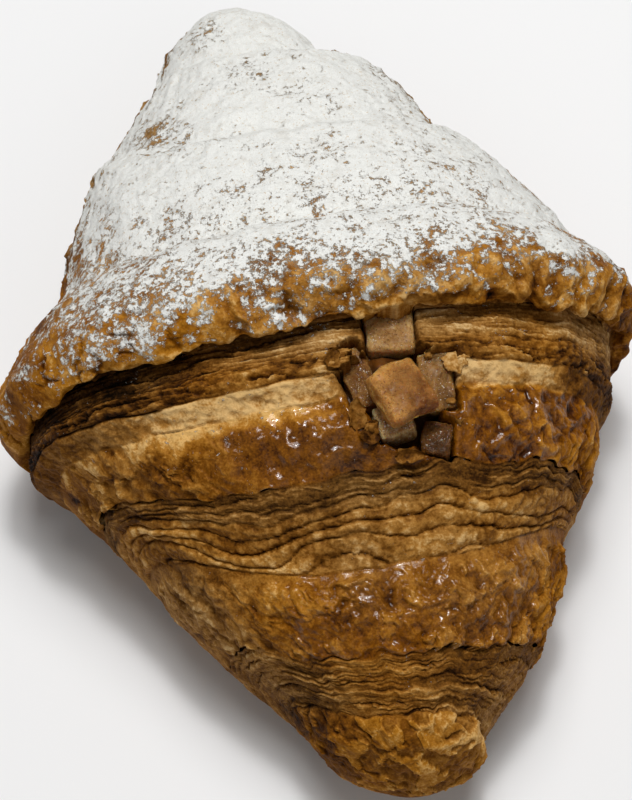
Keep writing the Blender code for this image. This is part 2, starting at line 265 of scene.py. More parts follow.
# ---- the skin
ANGLES = np.concatenate((
    np.pi * np.arange(UPPER_COLUMNS) / UPPER_COLUMNS,
    np.pi + np.pi * np.arange(LOWER_COLUMNS) / LOWER_COLUMNS,
))
ACROSS, UP = np.cos(ANGLES), np.sin(ANGLES)
ARCH = np.maximum(UP, 0)


def skin_points(y, lift):
    """The skin at these Y for all angles, lifted off the spindle and pressed flat on the tray."""
    near, left = y < BELLY_Y, ACROSS < 0
    reach = np.minimum(np.abs(y - BELLY_Y) / np.where(near, NEAR_LENGTH, FAR_LENGTH), 1)
    taper = np.where(near, np.where(left, NEAR_LEFT_TAPER, NEAR_RIGHT_TAPER),
                     np.where(left, FAR_LEFT_TAPER, FAR_RIGHT_TAPER))
    radius = np.where(near, NEAR_TIP_RADIUS, FAR_TIP_RADIUS)
    half_width = mix(np.where(left, LEFT_HALF_WIDTH, RIGHT_HALF_WIDTH), radius, reach**taper)
    top = mix(BELLY_TOP, TIP_TOP, reach**RIDGE_TAPER)
    bottom = TIP_LIFT * reach**3 - BELLY_SINK * (1 - reach**RIDGE_TAPER)
    axis = AXIS_X + np.where(near, NEAR_LEAN, FAR_LEAN) * reach**2
    beyond = np.maximum(reach - CAP_START, 0) / (1 - CAP_START)
    cap = np.sqrt(np.maximum(1 - beyond**2, 0))
    waist = mix(bottom, top, WAIST_SHARE)
    power = np.where(UP >= 0, 2 / ARCH_POWER, 2 / BASE_POWER)
    x = np.sign(ACROSS) * np.abs(ACROSS) ** power * (half_width + lift)
    rise = np.where(UP >= 0, top + lift - waist, waist - bottom)
    z = np.sign(UP) * np.abs(UP) ** power * rise
    return np.stack((axis + x * cap, y, waist + z * cap), axis=-1)


def edge_place(edge, seed):
    """Y and lift of an edge for all angles, ragged as it was torn or cut."""
    turn = np.abs(ACROSS) ** SLANT_POWER
    side_y = np.where(ACROSS < 0, edge.left, edge.right)
    side_lift = np.where(ACROSS < 0, edge.left_lift, edge.right_lift)
    lift = mix(edge.lift, side_lift, ACROSS**2)
    crossing = mix(edge.left, edge.right, (1 + ACROSS) / 2)
    y = np.where(UP >= 0, mix(edge.ridge, side_y, turn), mix(crossing, edge.under, -UP))
    lift = np.where(UP >= 0, lift, lift * (1 + UP))
    circle = np.stack((ACROSS * 38, UP * 38, np.full_like(UP, seed * 5.0)), axis=-1)
    calm = np.where(UP >= 0, 1, np.maximum(1 + 1.5 * UP, 0))
    y = y + edge.ragged * calm * (0.8 * wave(circle, 9, seed) + 0.6 * wave(circle, 3.6, seed + 40))
    lift = lift + edge.bumpy * calm * (0.9 * wave(circle, 7, seed + 80) + 0.7 * wave(circle, 3.2, seed + 90))
    return y, lift


def stretch_grid(serial, shares):
    """Points of a stretch at these shares of the way."""
    stretch = SKIN[serial]
    start_y, start_lift = edge_place(SKIN[serial - 1].end if serial else NEAR_TIP, serial)
    end_y, end_lift = edge_place(stretch.end, serial + 1)
    shares = shares[:, None]
    y = mix(start_y, end_y, shares)
    y = np.clip(y, NEAR_TIP.ridge, FAR_TIP.ridge)
    lift = mix(start_lift, end_lift, shares)
    lift = lift + stretch.swell * np.sin(np.pi * shares) * (0.4 + 0.6 * ARCH)
    return skin_points(y, lift)


def spread_rows(serial):
    """Shares of the way along a stretch at even steps over the surface."""
    trial = np.linspace(0, 1, 81)
    points = stretch_grid(serial, trial)[:, 5:UPPER_COLUMNS:12]
    steps = np.linalg.norm(np.diff(points, axis=0), axis=-1).mean(axis=1) + 0.002
    way = np.concatenate(([0], np.cumsum(steps)))
    count = max(int(round(way[-1] / SKIN[serial].spacing)), 3)
    return np.interp(np.linspace(0, way[-1], count + 1)[:-1], way, trial), way[-1]


class Skin:
    """The skin's grid: base points, what stretch each row is in, and the share and millimetres along it."""

    def __init__(self):
        points, stretch_of, share_of, length_of, self.first = [], [], [], [], []
        for serial in range(len(SKIN)):
            shares, length = spread_rows(serial)
            self.first.append(len(stretch_of))
            points.append(stretch_grid(serial, shares))
            stretch_of += [serial] * len(shares)
            share_of += list(shares)
            length_of += [length] * len(shares)
        points.append(stretch_grid(len(SKIN) - 1, np.array([1.0])))
        self.first.append(len(stretch_of))
        self.base = np.concatenate(points)
        self.stretch = np.array(stretch_of + [len(SKIN) - 1])
        self.share = np.array(share_of + [1.0])[:, None]
        self.length = np.array(length_of + [1.0])[:, None]
        self.base = blur_points(self.base, 1.3)
        rows = np.arange(len(self.base))[:, None]
        on_left = 1 - ramp(self.base[..., 0], -4, 1)
        soft = bump_at(rows - self.first[STRIP] + 1, 0, SOFT_ROWS) * on_left * ARCH
        self.base = mix(self.base, blur_points(self.base, SOFT_BLUR), soft[..., None])
        self.row_step = np.linalg.norm(np.gradient(self.base, axis=0), axis=-1) + 1e-4
        ring = np.linalg.norm(np.roll(self.base, -1, axis=1) - self.base, axis=-1)
        way = np.cumsum(ring, axis=1) - ring
        ridge = way[:, UPPER_COLUMNS // 2][:, None]
        girth = ridge - way
        whole = ring.sum(axis=1)[:, None]
        self.girth = np.where(girth < -whole / 2, girth + whole, girth)

    def rows(self, *kinds):
        """Which rows have one of these kinds of surface, as a column of 0 and 1."""
        wanted = [serial for serial, stretch in enumerate(SKIN) if stretch.kind in kinds]
        return np.isin(self.stretch, wanted).astype(float)[:, None]


def blur_points(points, rows):
    """Round off the corners between stretches."""
    return np.stack([blur(points[..., axis], rows, 0) for axis in range(3)], axis=-1)


def normals_of(points):
    """Outward normals of the grid."""
    along = np.gradient(points, axis=0)
    around = (np.roll(points, -1, axis=1) - np.roll(points, 1, axis=1)) / 2
    normals = np.cross(around, along)
    normals /= np.linalg.norm(normals, axis=-1, keepdims=True) + 1e-9
    middle = points.mean(axis=1, keepdims=True)
    facing = ((points - middle) * normals).sum(-1).mean()
    return normals if facing > 0 else -normals


# ---- relief
def domes(points, size, seed):
    """Rounded blisters from 0 to 1, and the narrow valleys between them."""
    first, second, _ = cells(points, size, seed)
    return np.sqrt(np.clip(1.05 - first**2, 0, 1)), bump_at(second - first, 0, 0.10)


def strata(skin, flow, seed, crack_width):
    """Terraces whose risers follow the whole-number lines of a field: their level, from -1 to 1, the cracks
    along the risers, which are painted dark as shade later, the raised edges beside them, which are painted
    pale as highlights, and the pillow from 0 to 1 between two risers."""
    layer = np.floor(flow)
    part = flow - layer
    slope = np.abs(np.gradient(flow, axis=0)) / skin.row_step
    slope = np.maximum(slope, 0.05)

    def level(number):
        return wave3(skin.girth / 11, number * 4.7, seed, seed)

    below, above = level(layer), level(layer + 1)
    turn = np.minimum(0.45 * slope, 0.5)
    terrace = mix(below, above, ramp(part, 1 - turn, 1))
    away = np.minimum(part, 1 - part) / slope
    nearest = np.round(flow)
    open_here = np.clip(0.46 + 1.25 * wave3(skin.girth / 7, nearest * 5.3, 0, seed + 5), 0.0, 1.2)
    crack = bump_at(away, 0, crack_width) * open_here
    lit = bump_at(away, 2.3 * crack_width, 1.1 * crack_width) * (part > 0.5)
    lit *= ramp(wave3(skin.girth / 4.5, nearest * 3.1, 9, seed + 7), -0.5, 0.5)
    return terrace, crack, lit, np.sqrt(np.sin(np.pi * part))


def turned(die):
    """The rotation of a die as an array."""
    return np.array(Euler([math.radians(a) for a in die.turn]).to_matrix())


def mouth_measure(points):
    """Millimetres inside (below 0) or outside the torn edge of the mouth, at each point's own height."""
    heights, widths = zip(*MOUTH_LEVELS)
    radius = np.interp(points[..., 2], heights, widths)
    cos_turn, sin_turn = math.cos(math.radians(MOUTH_TURN)), math.sin(math.radians(MOUTH_TURN))
    x = points[..., 0] - MOUTH_X
    y = points[..., 1] - MOUTH_Y - MOUTH_LEAN * (points[..., 2] - MOUTH_Z)
    across, along = x * cos_turn + y * sin_turn, (y * cos_turn - x * sin_turn) / MOUTH_LENGTH
    angle = np.arctan2(along, across)
    torn = radius * (1 + 0.05 * np.sin(3 * angle + 0.6) + 0.05 * np.sin(5 * angle + points[..., 2] / 9))
    return np.hypot(across, along) - torn


def seen_from(die, points):
    """Points in the directions of a die, and the millimetres that they lie beside it."""
    local = (points - die.centre) @ turned(die)
    return local, np.maximum(np.abs(local[..., 0]) - die.half[0], np.abs(local[..., 1]) - die.half[1])


def over_dice(points):
    """Millimetres inside (below 0) or outside the columns of open room over the dice."""
    nearest = np.full(points.shape[:-1], 9.0)
    for die in DICE:
        local, beside = seen_from(die, points)
        above = np.abs(local[..., 2]) < die.half[2] + HEADROOM
        nearest = np.where(above, np.minimum(nearest, beside - SIDEROOM), nearest)
    return nearest


def dress_skin(skin):
    """Final points of the skin, the LOOKS of each from 0 to 1, and where it lies round and up its layers."""
    base = skin.base
    girth = skin.girth
    share = skin.share + np.zeros_like(girth)
    along = share * skin.length
    x, y, z = base[..., 0], base[..., 1], base[..., 2]
    right = ramp(x, -12, 22)
    left = 1 - ramp(x, -34, -8)
    normals = normals_of(base)
    facing_up = normals[..., 2]

    def bumps(size, seed):
        """Noise over the skin, from -1 to 1."""
        return wave(base, size, seed)

    ragged = 0.5 * bumps(3.0, 6) + 0.35 * bumps(1.2, 7)

    def zone(*kinds):
        """Where the skin has one of these kinds of surface, with a soft, uneven border."""
        sharp = skin.rows(*kinds) + np.zeros_like(girth)
        return ramp(blur(sharp, 2.5, 1) + 0.35 * ragged, 0.25, 0.75)

    relief = 0.40 * bumps(9, 1) + 0.18 * bumps(4, 2)
    tone = 0.46 + 0.14 * bumps(13, 3) + 0.10 * bumps(5, 4) + 0.05 * bumps(1.6, 8)
    warmth = 0.65 + 0.25 * bumps(12, 5)
    glaze = np.full(x.shape, 0.3)
    # Painted shade: creases, valleys between blisters and cracks between layers, gathered zone by zone and
    # darkened at the end.
    crease_shade = np.zeros(x.shape)

    # What the browned bands are made of: blisters, crumpled film and thin plates that lie on them.
    warp = base + np.stack([1.5 * bumps(5, 10 + i) + 0.6 * bumps(2, 24 + i) for i in range(3)], axis=-1)
    billow = 1 - np.abs(wave(warp, 5.0, 14)) * 1.8
    crumple = 1 - np.abs(wave(warp, 2.3, 15)) * 1.8
    tiny = bumps(0.85, 20)
    flaky = bumps(0.7, 29) + 0.6 * bumps(1.5, 28)
    popcorn, seams = domes(warp, 3.1, 16)
    grit, folds, hills, pops = flaky + tiny, crumple - 0.5, billow - 0.5, popcorn - 0.7
    plate_field = wave(warp, 5.0, 17) + 0.45 * wave(warp, 1.9, 18) + 0.15 * wave(warp, 0.8, 19)
    plates = ramp(plate_field, 0.08, 0.17)
    upper_plates = ramp(plate_field, 0.42, 0.50)
    plate_edge = bump_at(plate_field, 0.17, 0.05) + bump_at(plate_field, 0.5, 0.05)

    # The third band: blisters and thin plates, and popped knobs on its left.
    band3 = zone("blister")
    rough3 = band3 * ramp(share + 0.08 * ragged, 0.93, 0.80)
    left3 = 1 - ramp(x + 4 * ragged, -26, -8)
    blister = 0.55 * (billow - 0.4) + 0.30 * (crumple - 0.4) + 0.40 * plates + 0.35 * upper_plates
    pop = 0.9 * pops + 0.4 * hills + 0.2 * folds
    relief += rough3 * mix(blister, pop, left3) + rough3 * (0.12 * tiny + 0.12 * flaky)
    tone += rough3 * (1 - left3) * (0.13 * plates + 0.10 * upper_plates + 0.08 * plate_edge + 0.1 * folds)
    tone += rough3 * left3 * (0.60 * (popcorn - 0.72) + 0.07 + 0.10 * plate_edge + 0.14 * folds)
    tone += rough3 * 0.07 * grit
    tone += band3 * 0.02 + (band3 - rough3) * 0.08
    glaze += band3 * (0.55 - 0.35 * left3)
    warmth += band3 * (0.15 - 0.4 * left3)
    valleys = 0.35 * ramp(-billow, -0.1, 0.7) + 0.3 * ramp(-crumple, 0.0, 0.7) + 0.3 * left3 * seams
    crease_shade += rough3 * valleys

    # The second band: plates on its left, a smoother glazed middle, and knobs on its right.
    band2 = zone("glazed")
    left2 = 1 - ramp(x + 5 * ragged, -30, -12)
    right2 = ramp(x + 3 * ragged, 15, 21)
    middle2 = (1 - left2) * (1 - right2)
    lower2 = ramp(share, 0.62, 0.3)
    oyster = 0.75 * (1 - np.abs(wave(warp, 4.6, 21)) * 1.8) + 0.45 * plates + 0.35 * upper_plates
    knobs = 0.75 * pops + 0.7 * hills + 0.4 * folds + 0.3 * plates
    knobs = knobs * (1 - 0.55 * ramp(x, 36, 42))
    smooth2 = 0.26 * bumps(3.2, 22) + 0.16 * bumps(1.4, 23) + 0.35 * hills + 0.06 * tiny
    relief += band2 * (left2 * mix(0.4, 1.0, lower2) * (oyster - 0.4) + right2 * knobs + middle2 * smooth2)
    tone += band2 * (-0.02 + left2 * (0.08 + 0.10 * upper_plates + 0.10 * plate_edge + 0.22 * (oyster - 0.4)))
    tone += band2 * right2 * (0.3 * pops + 0.22 * (billow - 0.4) + 0.10 * plates + 0.14 * folds)
    tone += band2 * (middle2 * (0.12 * hills - 0.02) + 0.05 * grit)
    tone = mix(tone, 0.44 + 0.6 * (tone - 0.46), band2 * middle2 * 0.7)
    tone = mix(tone, 0.47 + 0.7 * (tone - 0.46), band3 * (1 - left3) * 0.7)
    relief += band2 * 0.07 * (left2 + right2) * grit
    glaze += band2 * (0.65 - 0.45 * left2)
    warmth += band2 * (0.30 - 0.25 * left2)
    crease_shade += band2 * (right2 * 0.3 * seams + left2 * 0.35 * ramp(-oyster, -0.2, 0.4))

    # The near tip and its nub.
    nub = zone("nub", "film")
    relief += nub * (0.5 * hills + 0.3 * folds + 0.4 * plates + 0.08 * grit)
    # Painted shade: the nub is darker on its left (the ramp on X).
    plated = -0.08 + 0.18 * plates + 0.12 * plate_edge + 0.12 * folds + 0.18 * ramp(x, -10, 8)
    tone += nub * (plated + 0.05 * grit)
    warmth += nub * (0.2 * plates - 0.35 * left)
    glaze += nub * 0.25
    crease_shade += nub * 0.4 * ramp(-billow, 0.0, 0.7)

    # Cut layers: fine ones next to the nub.
    def flow_of(count, strong, weak, seed, reach=20):
        """Layer numbers along a zone of cut layers, whose lines sway, bunch up and part."""
        sway = wave3(girth / reach, along / 5.5, seed, seed)
        ripple = wave3(girth / 6, along / 2.0, seed, seed + 1)
        torn = wave3(girth / 1.5, along / 0.9, seed, seed + 2)
        nibbled = wave3(girth / 0.6, along / 0.5, seed, seed + 3)
        return count + strong * sway + weak * (ripple + 0.45 * torn + 0.25 * nibbled)

    threads = wave3(girth / 7, along / 0.42 + 2.5 * bumps(6, 31), 0, 31)
    rise = along + 0.8 * bumps(7, 30)
    fine = zone("fine")
    flow = flow_of(share * 6.5, 0.8, 0.35, 33)
    terrace, crack, lit, _ = strata(skin, flow, 33, 0.15)
    rise = mix(rise, flow * 1.1, skin.rows("fine"))
    terrace2, crack2, lit2, _ = strata(skin, flow_of(share * 14, 0.9, 0.6, 37), 38, 0.10)
    layered = 0.46 * terrace + 0.20 * terrace2 - 0.4 * crack - 0.2 * crack2 + 0.12 * lit
    relief += fine * (layered + 0.07 * flaky)
    # Painted highlights: lit and lit2 lighten the layer edges.
    tone += fine * (0.06 + 0.16 * terrace + 0.14 * terrace2 + 0.22 * lit + 0.16 * lit2 + 0.06 * flaky)
    crease_shade += fine * (0.8 * crack + 0.45 * crack2)
    warmth -= fine * (0.25 + 0.1 * threads)

    # Broad layers, and dense ones where they meet the second band.
    broad = zone("broad")
    dense = ramp(share + 0.05 * ragged, 0.60, 0.74)
    flow = flow_of(share * 4.8 + dense * (share - 0.68) * 6, 1.15, mix(0.12, 0.3, dense), 34, 15)
    terrace, crack, lit, pillow = strata(skin, flow, 34, 0.13)
    rise = mix(rise, flow * 2.4, skin.rows("broad"))
    terrace2, crack2, lit2, _ = strata(skin, flow_of(share * 17, 1.0, 0.6, 44), 45, 0.11)
    bubbly = np.clip(np.abs(bumps(1.5, 35)) * 2.2 + 0.5 * bumps(0.7, 39), 0, 1.3)
    relief += broad * (mix(0.40, 0.4, dense) * terrace - mix(0.35, 0.4, dense) * crack + 0.15 * lit)
    relief += broad * mix(0.65, 0.2, dense) * (pillow - 0.6)
    relief += broad * dense * 0.2 * (terrace2 - crack2 + 0.3 * flaky)
    relief += broad * (1 - dense) * 0.16 * (bubbly - 0.5)
    # Painted highlights: lit and lit2 lighten the layer edges.
    tone += broad * (mix(0.14, -0.03, dense) + 0.10 * terrace + mix(0.20, 0.24, dense) * lit)
    tone += broad * dense * (0.14 * terrace2 + 0.18 * lit2 + 0.05 * flaky)
    tone += broad * (1 - dense) * (0.16 * (bubbly - 0.5) + 0.18 * (pillow - 0.7) + 0.18 * bumps(3.5, 32))
    crease_shade += broad * (mix(0.5, 0.55, dense) * crack + 0.4 * dense * crack2)
    warmth -= broad * mix(0.12, 0.4, dense)
    glaze += broad * mix(0.22, -0.1, dense)

    # Under the lip: rolled ledges next to the cut strip, then thin layers that run back into the dark.
    shadow = zone("shadow")
    in_shadow = skin.rows("shadow")
    ledge = ramp(share + 0.06 * ragged, 0.48, 0.26) * in_shadow * (share > 0)
    flow = flow_of(share * 4.5 + (1 - ledge) * share * 2, 1.0, 0.42, 36, 13)
    terrace, crack, lit, pillow = strata(skin, flow, 36, 0.17)
    rise = mix(rise, flow * 1.8, in_shadow)
    terrace2, crack2, lit2, _ = strata(skin, flow_of(share * 19, 1.1, 0.6, 47), 48, 0.10)
    roll = np.sin(np.pi * np.clip(share / 0.42, 0, 1)) ** 0.7
    layered = mix(0.35, 0.5, ledge) * terrace - 0.4 * crack + 0.2 * lit + 0.2 * terrace2 - 0.2 * crack2
    relief += shadow * layered
    relief += shadow * ledge * (0.5 * (pillow - 0.6) + 0.16 * (bubbly - 0.5))
    tone += shadow * ledge * (0.16 * (bubbly - 0.5) + 0.20 * (pillow - 0.7) + 0.10 * bumps(3.5, 68))
    bulge = 0.9 * ledge * roll * ramp(x, -46, -34) + mix(0.7, -0.4, left) * (1 - ledge) * in_shadow
    relief += shadow * (bulge + 0.08 * flaky)
    # Painted highlights: lit and lit2 lighten the layer edges.
    layered = mix(0.12, 0.13, ledge) + 0.18 * terrace + 0.20 * lit + 0.14 * terrace2 + 0.18 * lit2
    tone += shadow * (layered + 0.05 * flaky)
    # Painted shade under the lip, strongest on the left; on the right, painted light lifts the thin layers
    # and painted shade darkens the ledges.
    tone -= shadow * mix(0.38 * left, 0.30 * ramp(x, 4, -24) + 0.10 * ramp(x, -34, -44), ledge)
    tone += shadow * right * mix(0.10, -0.20, ledge)
    crease_shade += shadow * (0.9 * crack + 0.5 * crack2)
    warmth -= shadow * mix(0.35, 0.15, ledge)

    # The pale cut strip, which fades out at both ends and beside the mouth.
    strip = zone("strip")
    kept = ramp(x, -42, -27) * ramp(x, 38, 27) * (1 - 0.8 * bump_at(x, 0.5, 4))
    down = (1 - share) * skin.length + 1.6 * ragged + 1.2 * bumps(6, 53)
    shoulder = skin.rows("glazed") * mix(ramp(down, 4.8, -0.8), ramp(down, 1.5, 0), ramp(x, -8, 2))
    glow = np.clip(skin.rows("strip") + shoulder, 0, 1)
    pale = kept * (0.46 + 0.20 * bumps(6, 58) + 0.16 * bumps(2.2, 59) + 0.10 * hills)
    tone += glow * pale - 0.04 * strip * (1 - kept)
    warmth -= strip * 0.2
    glaze -= strip * mix(0.0, 0.3, right)
    tone += strip * (0.07 * folds + 0.05 * grit + 0.05 * threads + 0.08 * plate_edge)
    relief += strip * (0.10 + 0.15 * kept + 0.30 * bumps(2.6, 60) + 0.18 * bumps(1.1, 56))
    relief += strip * (0.20 * folds + 0.10 * plates + 0.06 * flaky)
    strip_foot = bump_at(share, 0.985, 0.02) * skin.rows("glazed") * ramp(bumps(9, 57), -0.3, 0.3) * kept
    relief -= 0.4 * strip_foot
    crease_shade += 0.5 * strip_foot * right
    cut = np.clip(fine + shadow + strip * 0.25 + broad * mix(0.35, 1.0, dense), 0, 1)

    # The rim of the lip: knobbly lumps, and on the left smooth tiles parted by a few cracks.
    rim = zone("rim")
    tiles = np.stack((girth / 8 + 0.2 * ragged, along / 11, np.full_like(girth, 4.0)), axis=-1)
    nearest, next_nearest, _ = cells(tiles, 1.0, 41)
    split = bump_at(next_nearest - nearest, 0, 0.045) * ramp(bumps(7, 46), -0.25, 0.2)
    lumps = 0.9 * (billow - 0.45) + 0.6 * (popcorn - 0.72) + 0.25 * folds + 0.6 * bumps(5, 42)
    tiled = 0.45 * bumps(7, 43) + 0.15 * bumps(2.4, 49) - 0.55 * split
    relief += rim * mix(lumps, tiled, left)
    tone += rim * (0.18 + left * 0.12 + (1 - left) * (0.32 * pops + 0.28 * (billow - 0.45)))
    # Painted shade: the rim darkens towards its left and right ends.
    tone -= rim * (0.06 * ramp(x, -24, -32) + 0.16 * ramp(x, -36, -44) + 0.18 * ramp(x, 36, 43))
    tone += rim * (0.08 * plates + 0.08 * plate_edge + 0.06 * grit + 0.10 * bumps(4.5, 52))
    relief += rim * mix(0.11, 0.04, left) * grit
    crease_shade += rim * (left * 0.9 * split + (1 - left) * (0.35 * seams + 0.5 * ramp(-billow, -0.2, 0.6)))
    glaze += rim * (0.40 - 0.25 * left)
    warmth += rim * (0.15 + 0.15 * left)

    # The dusted half: soft lumps and a few shallow folds.
    dusted = zone("dusted")
    relief += dusted * (0.30 * waves(base, 6, 51) + 0.12 * bumps(1.8, 54) + 0.15 * folds)
    tone += dusted * (0.14 + 0.1 * bumps(3, 55) + 0.05 * flaky)
    warmth += dusted * mix(0.3, -0.6, ramp(y, 16, 36))
    flank = dusted * ramp(facing_up + 0.2 * ragged, 0.5, 0.0)
    relief += flank * (0.35 * folds + 0.30 * plates + 0.25 * upper_plates + 0.4 * hills + 0.07 * flaky)
    # The steep flanks are a little darker: partly the bare crust's own colour, partly painted shade.
    tone += flank * (0.12 * folds + 0.12 * plates + 0.10 * plate_edge + 0.14 * hills + 0.04 * tiny - 0.10)
    crease_shade += flank * 0.3 * ramp(-billow, 0.0, 0.7)

    # Sugar lies thick on the far half and thins out towards the lip.
    beyond = y - mix(CREASE.ridge, np.where(x < 0, CREASE.left, CREASE.right), np.abs(ACROSS) ** SLANT_POWER)
    cover = 0.63 + 0.10 * ramp(beyond, 0, 12) + 0.14 * ramp(beyond, 8, 50)
    cover += 0.10 * bumps(12, 61) + 0.11 * bumps(4.5, 62) + 0.14 * bumps(2.0, 63)
    cover += 0.05 * np.clip(relief, -1, 1)
    cover *= ramp(facing_up + 0.22 * bumps(6, 69) + 0.14 * bumps(2.2, 70), -0.15, 0.62)
    cover -= 0.20 * ramp(x, -12, -40) * ramp(beyond, 30, 8)
    reach_down = 6.0 * ramp(x, -14, -34) * skin.rows("rim", "dusted")
    on_rim = ramp(beyond + reach_down + 3.2 * bumps(5, 64) + 2.0 * bumps(2, 65), -4.0, 2.5)
    flecks = 0.26 + 0.14 * bumps(6, 66) + 0.10 * bump_at(x, 2, 24) + 0.26 * ramp(bumps(2.0, 67), 0.10, 0.5)
    flecks *= mix(0.35, 1.0, ramp(beyond, -26, -4)) * ramp(facing_up, 0.2, 0.6)
    flecks *= 1 - 0.45 * skin.rows("shadow", "strip")
    cover = mix(flecks, cover, on_rim)
    bare = sum(share_off * np.exp(-(((x - at_x) / wide) ** 2 + ((y - at_y) / long) ** 2))
               for at_x, at_y, wide, long, share_off in THIN_PATCHES)
    sugar = np.clip(cover - bare * (1 + 0.5 * bumps(3, 74)), 0, 1)

    glaze *= mix(0.2, 1, ramp(facing_up, 0.15, 0.65))

    # Relief grows weaker under the belly and in the corner under the lip.
    calm = np.where(UP >= 0, 1, np.maximum(1 + 1.6 * UP, 0.12))
    points = base + normals * (relief * calm)[..., None]

    # The mouth.
    torn = 0.7 * wave(points, 3.2, 71) + 0.4 * wave(points, 1.3, 72)
    nibbled = 0.35 * wave(points, 2.2, 75) + 0.2 * wave(points, 0.9, 76)
    inside = np.minimum(mouth_measure(points) + torn, over_dice(points) + nibbled)
    deep = -inside
    near_mouth = ramp(np.hypot(x - MOUTH_X, y - MOUTH_Y), *MOUTH_OUTSKIRTS) * (z > MOUTH_FLOOR)
    drop = sum(depth * ramp(deep, start, stop) for depth, start, stop in MOUTH_DROPS)
    points[..., 2] -= near_mouth * drop
    points[..., 2] += near_mouth * 0.5 * bump_at(inside, 0.8, 0.7) * skin.rows("glazed", "broad", "strip")
    # Painted shade: the skin that drops into the mouth is darkened.
    shaded_pit = near_mouth * ramp(deep, -0.1, 0.8)
    tone = mix(tone, 0.24 + 0.15 * wave(points, 1.2, 73), shaded_pit)
    sugar = sugar * (1 - shaded_pit)
    crease_shade *= 1 - shaded_pit

    points[..., 2] = np.maximum(points[..., 2], 0)
    # Painted shade: creases, valleys and cracks are darkened.
    tone = tone - 0.34 * np.clip(crease_shade, 0, 1.2)
    looks = np.stack((tone, warmth, glaze, sugar, cut), axis=-1)
    return points, np.clip(looks, 0, 1), np.stack((girth, rise, np.zeros_like(rise)), axis=-1)


# ---- making meshes
LOOKS = ("tone", "warmth", "glaze", "sugar", "cut")


def mesh_from(name, points, quads, triangles, looks, normals=None, strand=None):
    """An object from arrays of points in millimetres before the shift, with smooth faces."""
    quads = np.asarray(quads, np.int32).reshape(-1, 4)
    triangles = np.asarray(triangles, np.int32).reshape(-1, 3)
    data = bpy.data.meshes.new(name)
    data.vertices.add(len(points))
    data.vertices.foreach_set("co", ((points + SHIFT) * MM).astype(np.float32).ravel())
    corners = np.concatenate((quads.ravel(), triangles.ravel()))
    starts = np.concatenate((np.arange(len(quads)) * 4, len(quads) * 4 + np.arange(len(triangles)) * 3))
    data.loops.add(len(corners))
    data.loops.foreach_set("vertex_index", corners.astype(np.int32))
    data.polygons.add(len(starts))
    data.polygons.foreach_set("loop_start", starts.astype(np.int32))
    data.update(calc_edges=True)
    data.validate()
    data.shade_smooth()
    for label, values in zip(LOOKS, looks.T):
        data.attributes.new(label, "FLOAT", "POINT").data.foreach_set("value", values.astype(np.float32))
    if strand is not None:
        layer = data.attributes.new("strand", "FLOAT_VECTOR", "POINT")
        layer.data.foreach_set("vector", strand.astype(np.float32).ravel())
    if normals is not None:
        data.normals_split_custom_set_from_vertices(normals.astype(np.float32))
    thing = bpy.data.objects.new(name, data)
    bpy.context.scene.collection.objects.link(thing)
    return thing


def tube_piece(name, points, looks, normals, strand=None):
    """A closed piece from rings of the grid, with a shallow cone inside each end."""
    rows, columns = points.shape[:2]
    index = np.arange(rows * columns).reshape(rows, columns)
    low, high = index[:-1], index[1:]
    quads = np.stack((low, high, np.roll(high, -1, axis=1), np.roll(low, -1, axis=1)), axis=-1).reshape(-1, 4)
    inner = []
    for row, step in ((0, 1), (-1, -1)):
        middle = points[row].mean(axis=0)
        middle[1] += step * min(3.0, 0.4 * np.ptp(points[:, 0, 1]))
        inner.append(middle)
    centre = rows * columns
    first, last = index[0], index[-1]
    start = np.stack((first, np.roll(first, -1), np.full(columns, centre)), axis=-1)
    end = np.stack((np.roll(last, -1), last, np.full(columns, centre + 1)), axis=-1)
    points = np.concatenate((points.reshape(-1, 3), inner))
    looks = np.concatenate((looks.reshape(centre, -1), np.zeros((2, looks.shape[-1]))))
    normals = np.concatenate((normals.reshape(-1, 3), ((0, -1, 0), (0, 1, 0))))
    if strand is not None:
        strand = np.concatenate((strand.reshape(-1, 3), np.zeros((2, 3))))
    return mesh_from(name, points, quads, np.concatenate((start, end)), looks, normals, strand)


def make_crust():
    """The crust in its closed pieces."""
    skin = Skin()
    points, looks, strand = dress_skin(skin)
    normals = normals_of(points)
    made = []
    for name, start, stop in CRUST_PIECES:
        first, last = skin.first[start], skin.first[stop] + 1
        part = slice(first, last)
        made.append(tube_piece(name, points[part], looks[part], normals[part], strand[part]))
    return made


